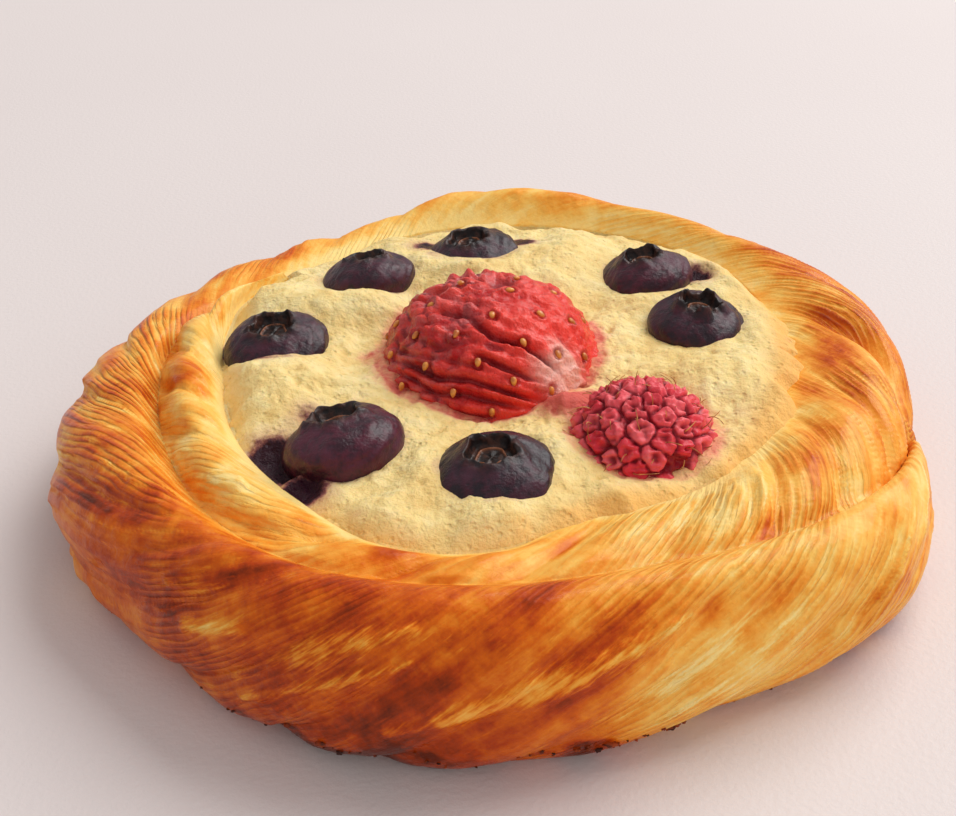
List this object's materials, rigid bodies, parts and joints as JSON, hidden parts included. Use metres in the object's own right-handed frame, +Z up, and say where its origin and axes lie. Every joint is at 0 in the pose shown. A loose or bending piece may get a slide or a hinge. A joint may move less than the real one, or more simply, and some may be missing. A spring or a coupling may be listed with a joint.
{
  "type": "danish pastry",
  "caption": "Round danish pastry: a twisted, coiled rope of laminated dough round a baked cream with blueberries, a strawberry half and a raspberry.",
  "frame": {"origin": "centre of the pastry's outline in plan, on the surface it lies on", "axes": "+Z up, -Y towards the raspberry's side and the viewer, +X to the side where the rope's outer end is tucked in"},
  "size_m": [0.1058, 0.1054, 0.026],
  "materials": {
    "dough": "egg-washed baked laminated dough",
    "cream": "matt, finely pitted baked cream",
    "blueberry_skin": "dark wrinkled skin with a dull bloom",
    "strawberry_skin": "moist baked fruit skin",
    "raspberry_flesh": "moist baked drupelets"
  },
  "bodies": {
    "root": {"dough_spiral": "dough", "cream_filling": "cream", "blueberry_front": "blueberry_skin", "blueberry_front_left": "blueberry_skin", "blueberry_left": "blueberry_skin", "blueberry_back_left": "blueberry_skin", "blueberry_back": "blueberry_skin", "blueberry_right_back": "blueberry_skin", "blueberry_right": "blueberry_skin", "strawberry_half": "strawberry_skin", "raspberry": "raspberry_flesh"}
  },
  "joints": []
}
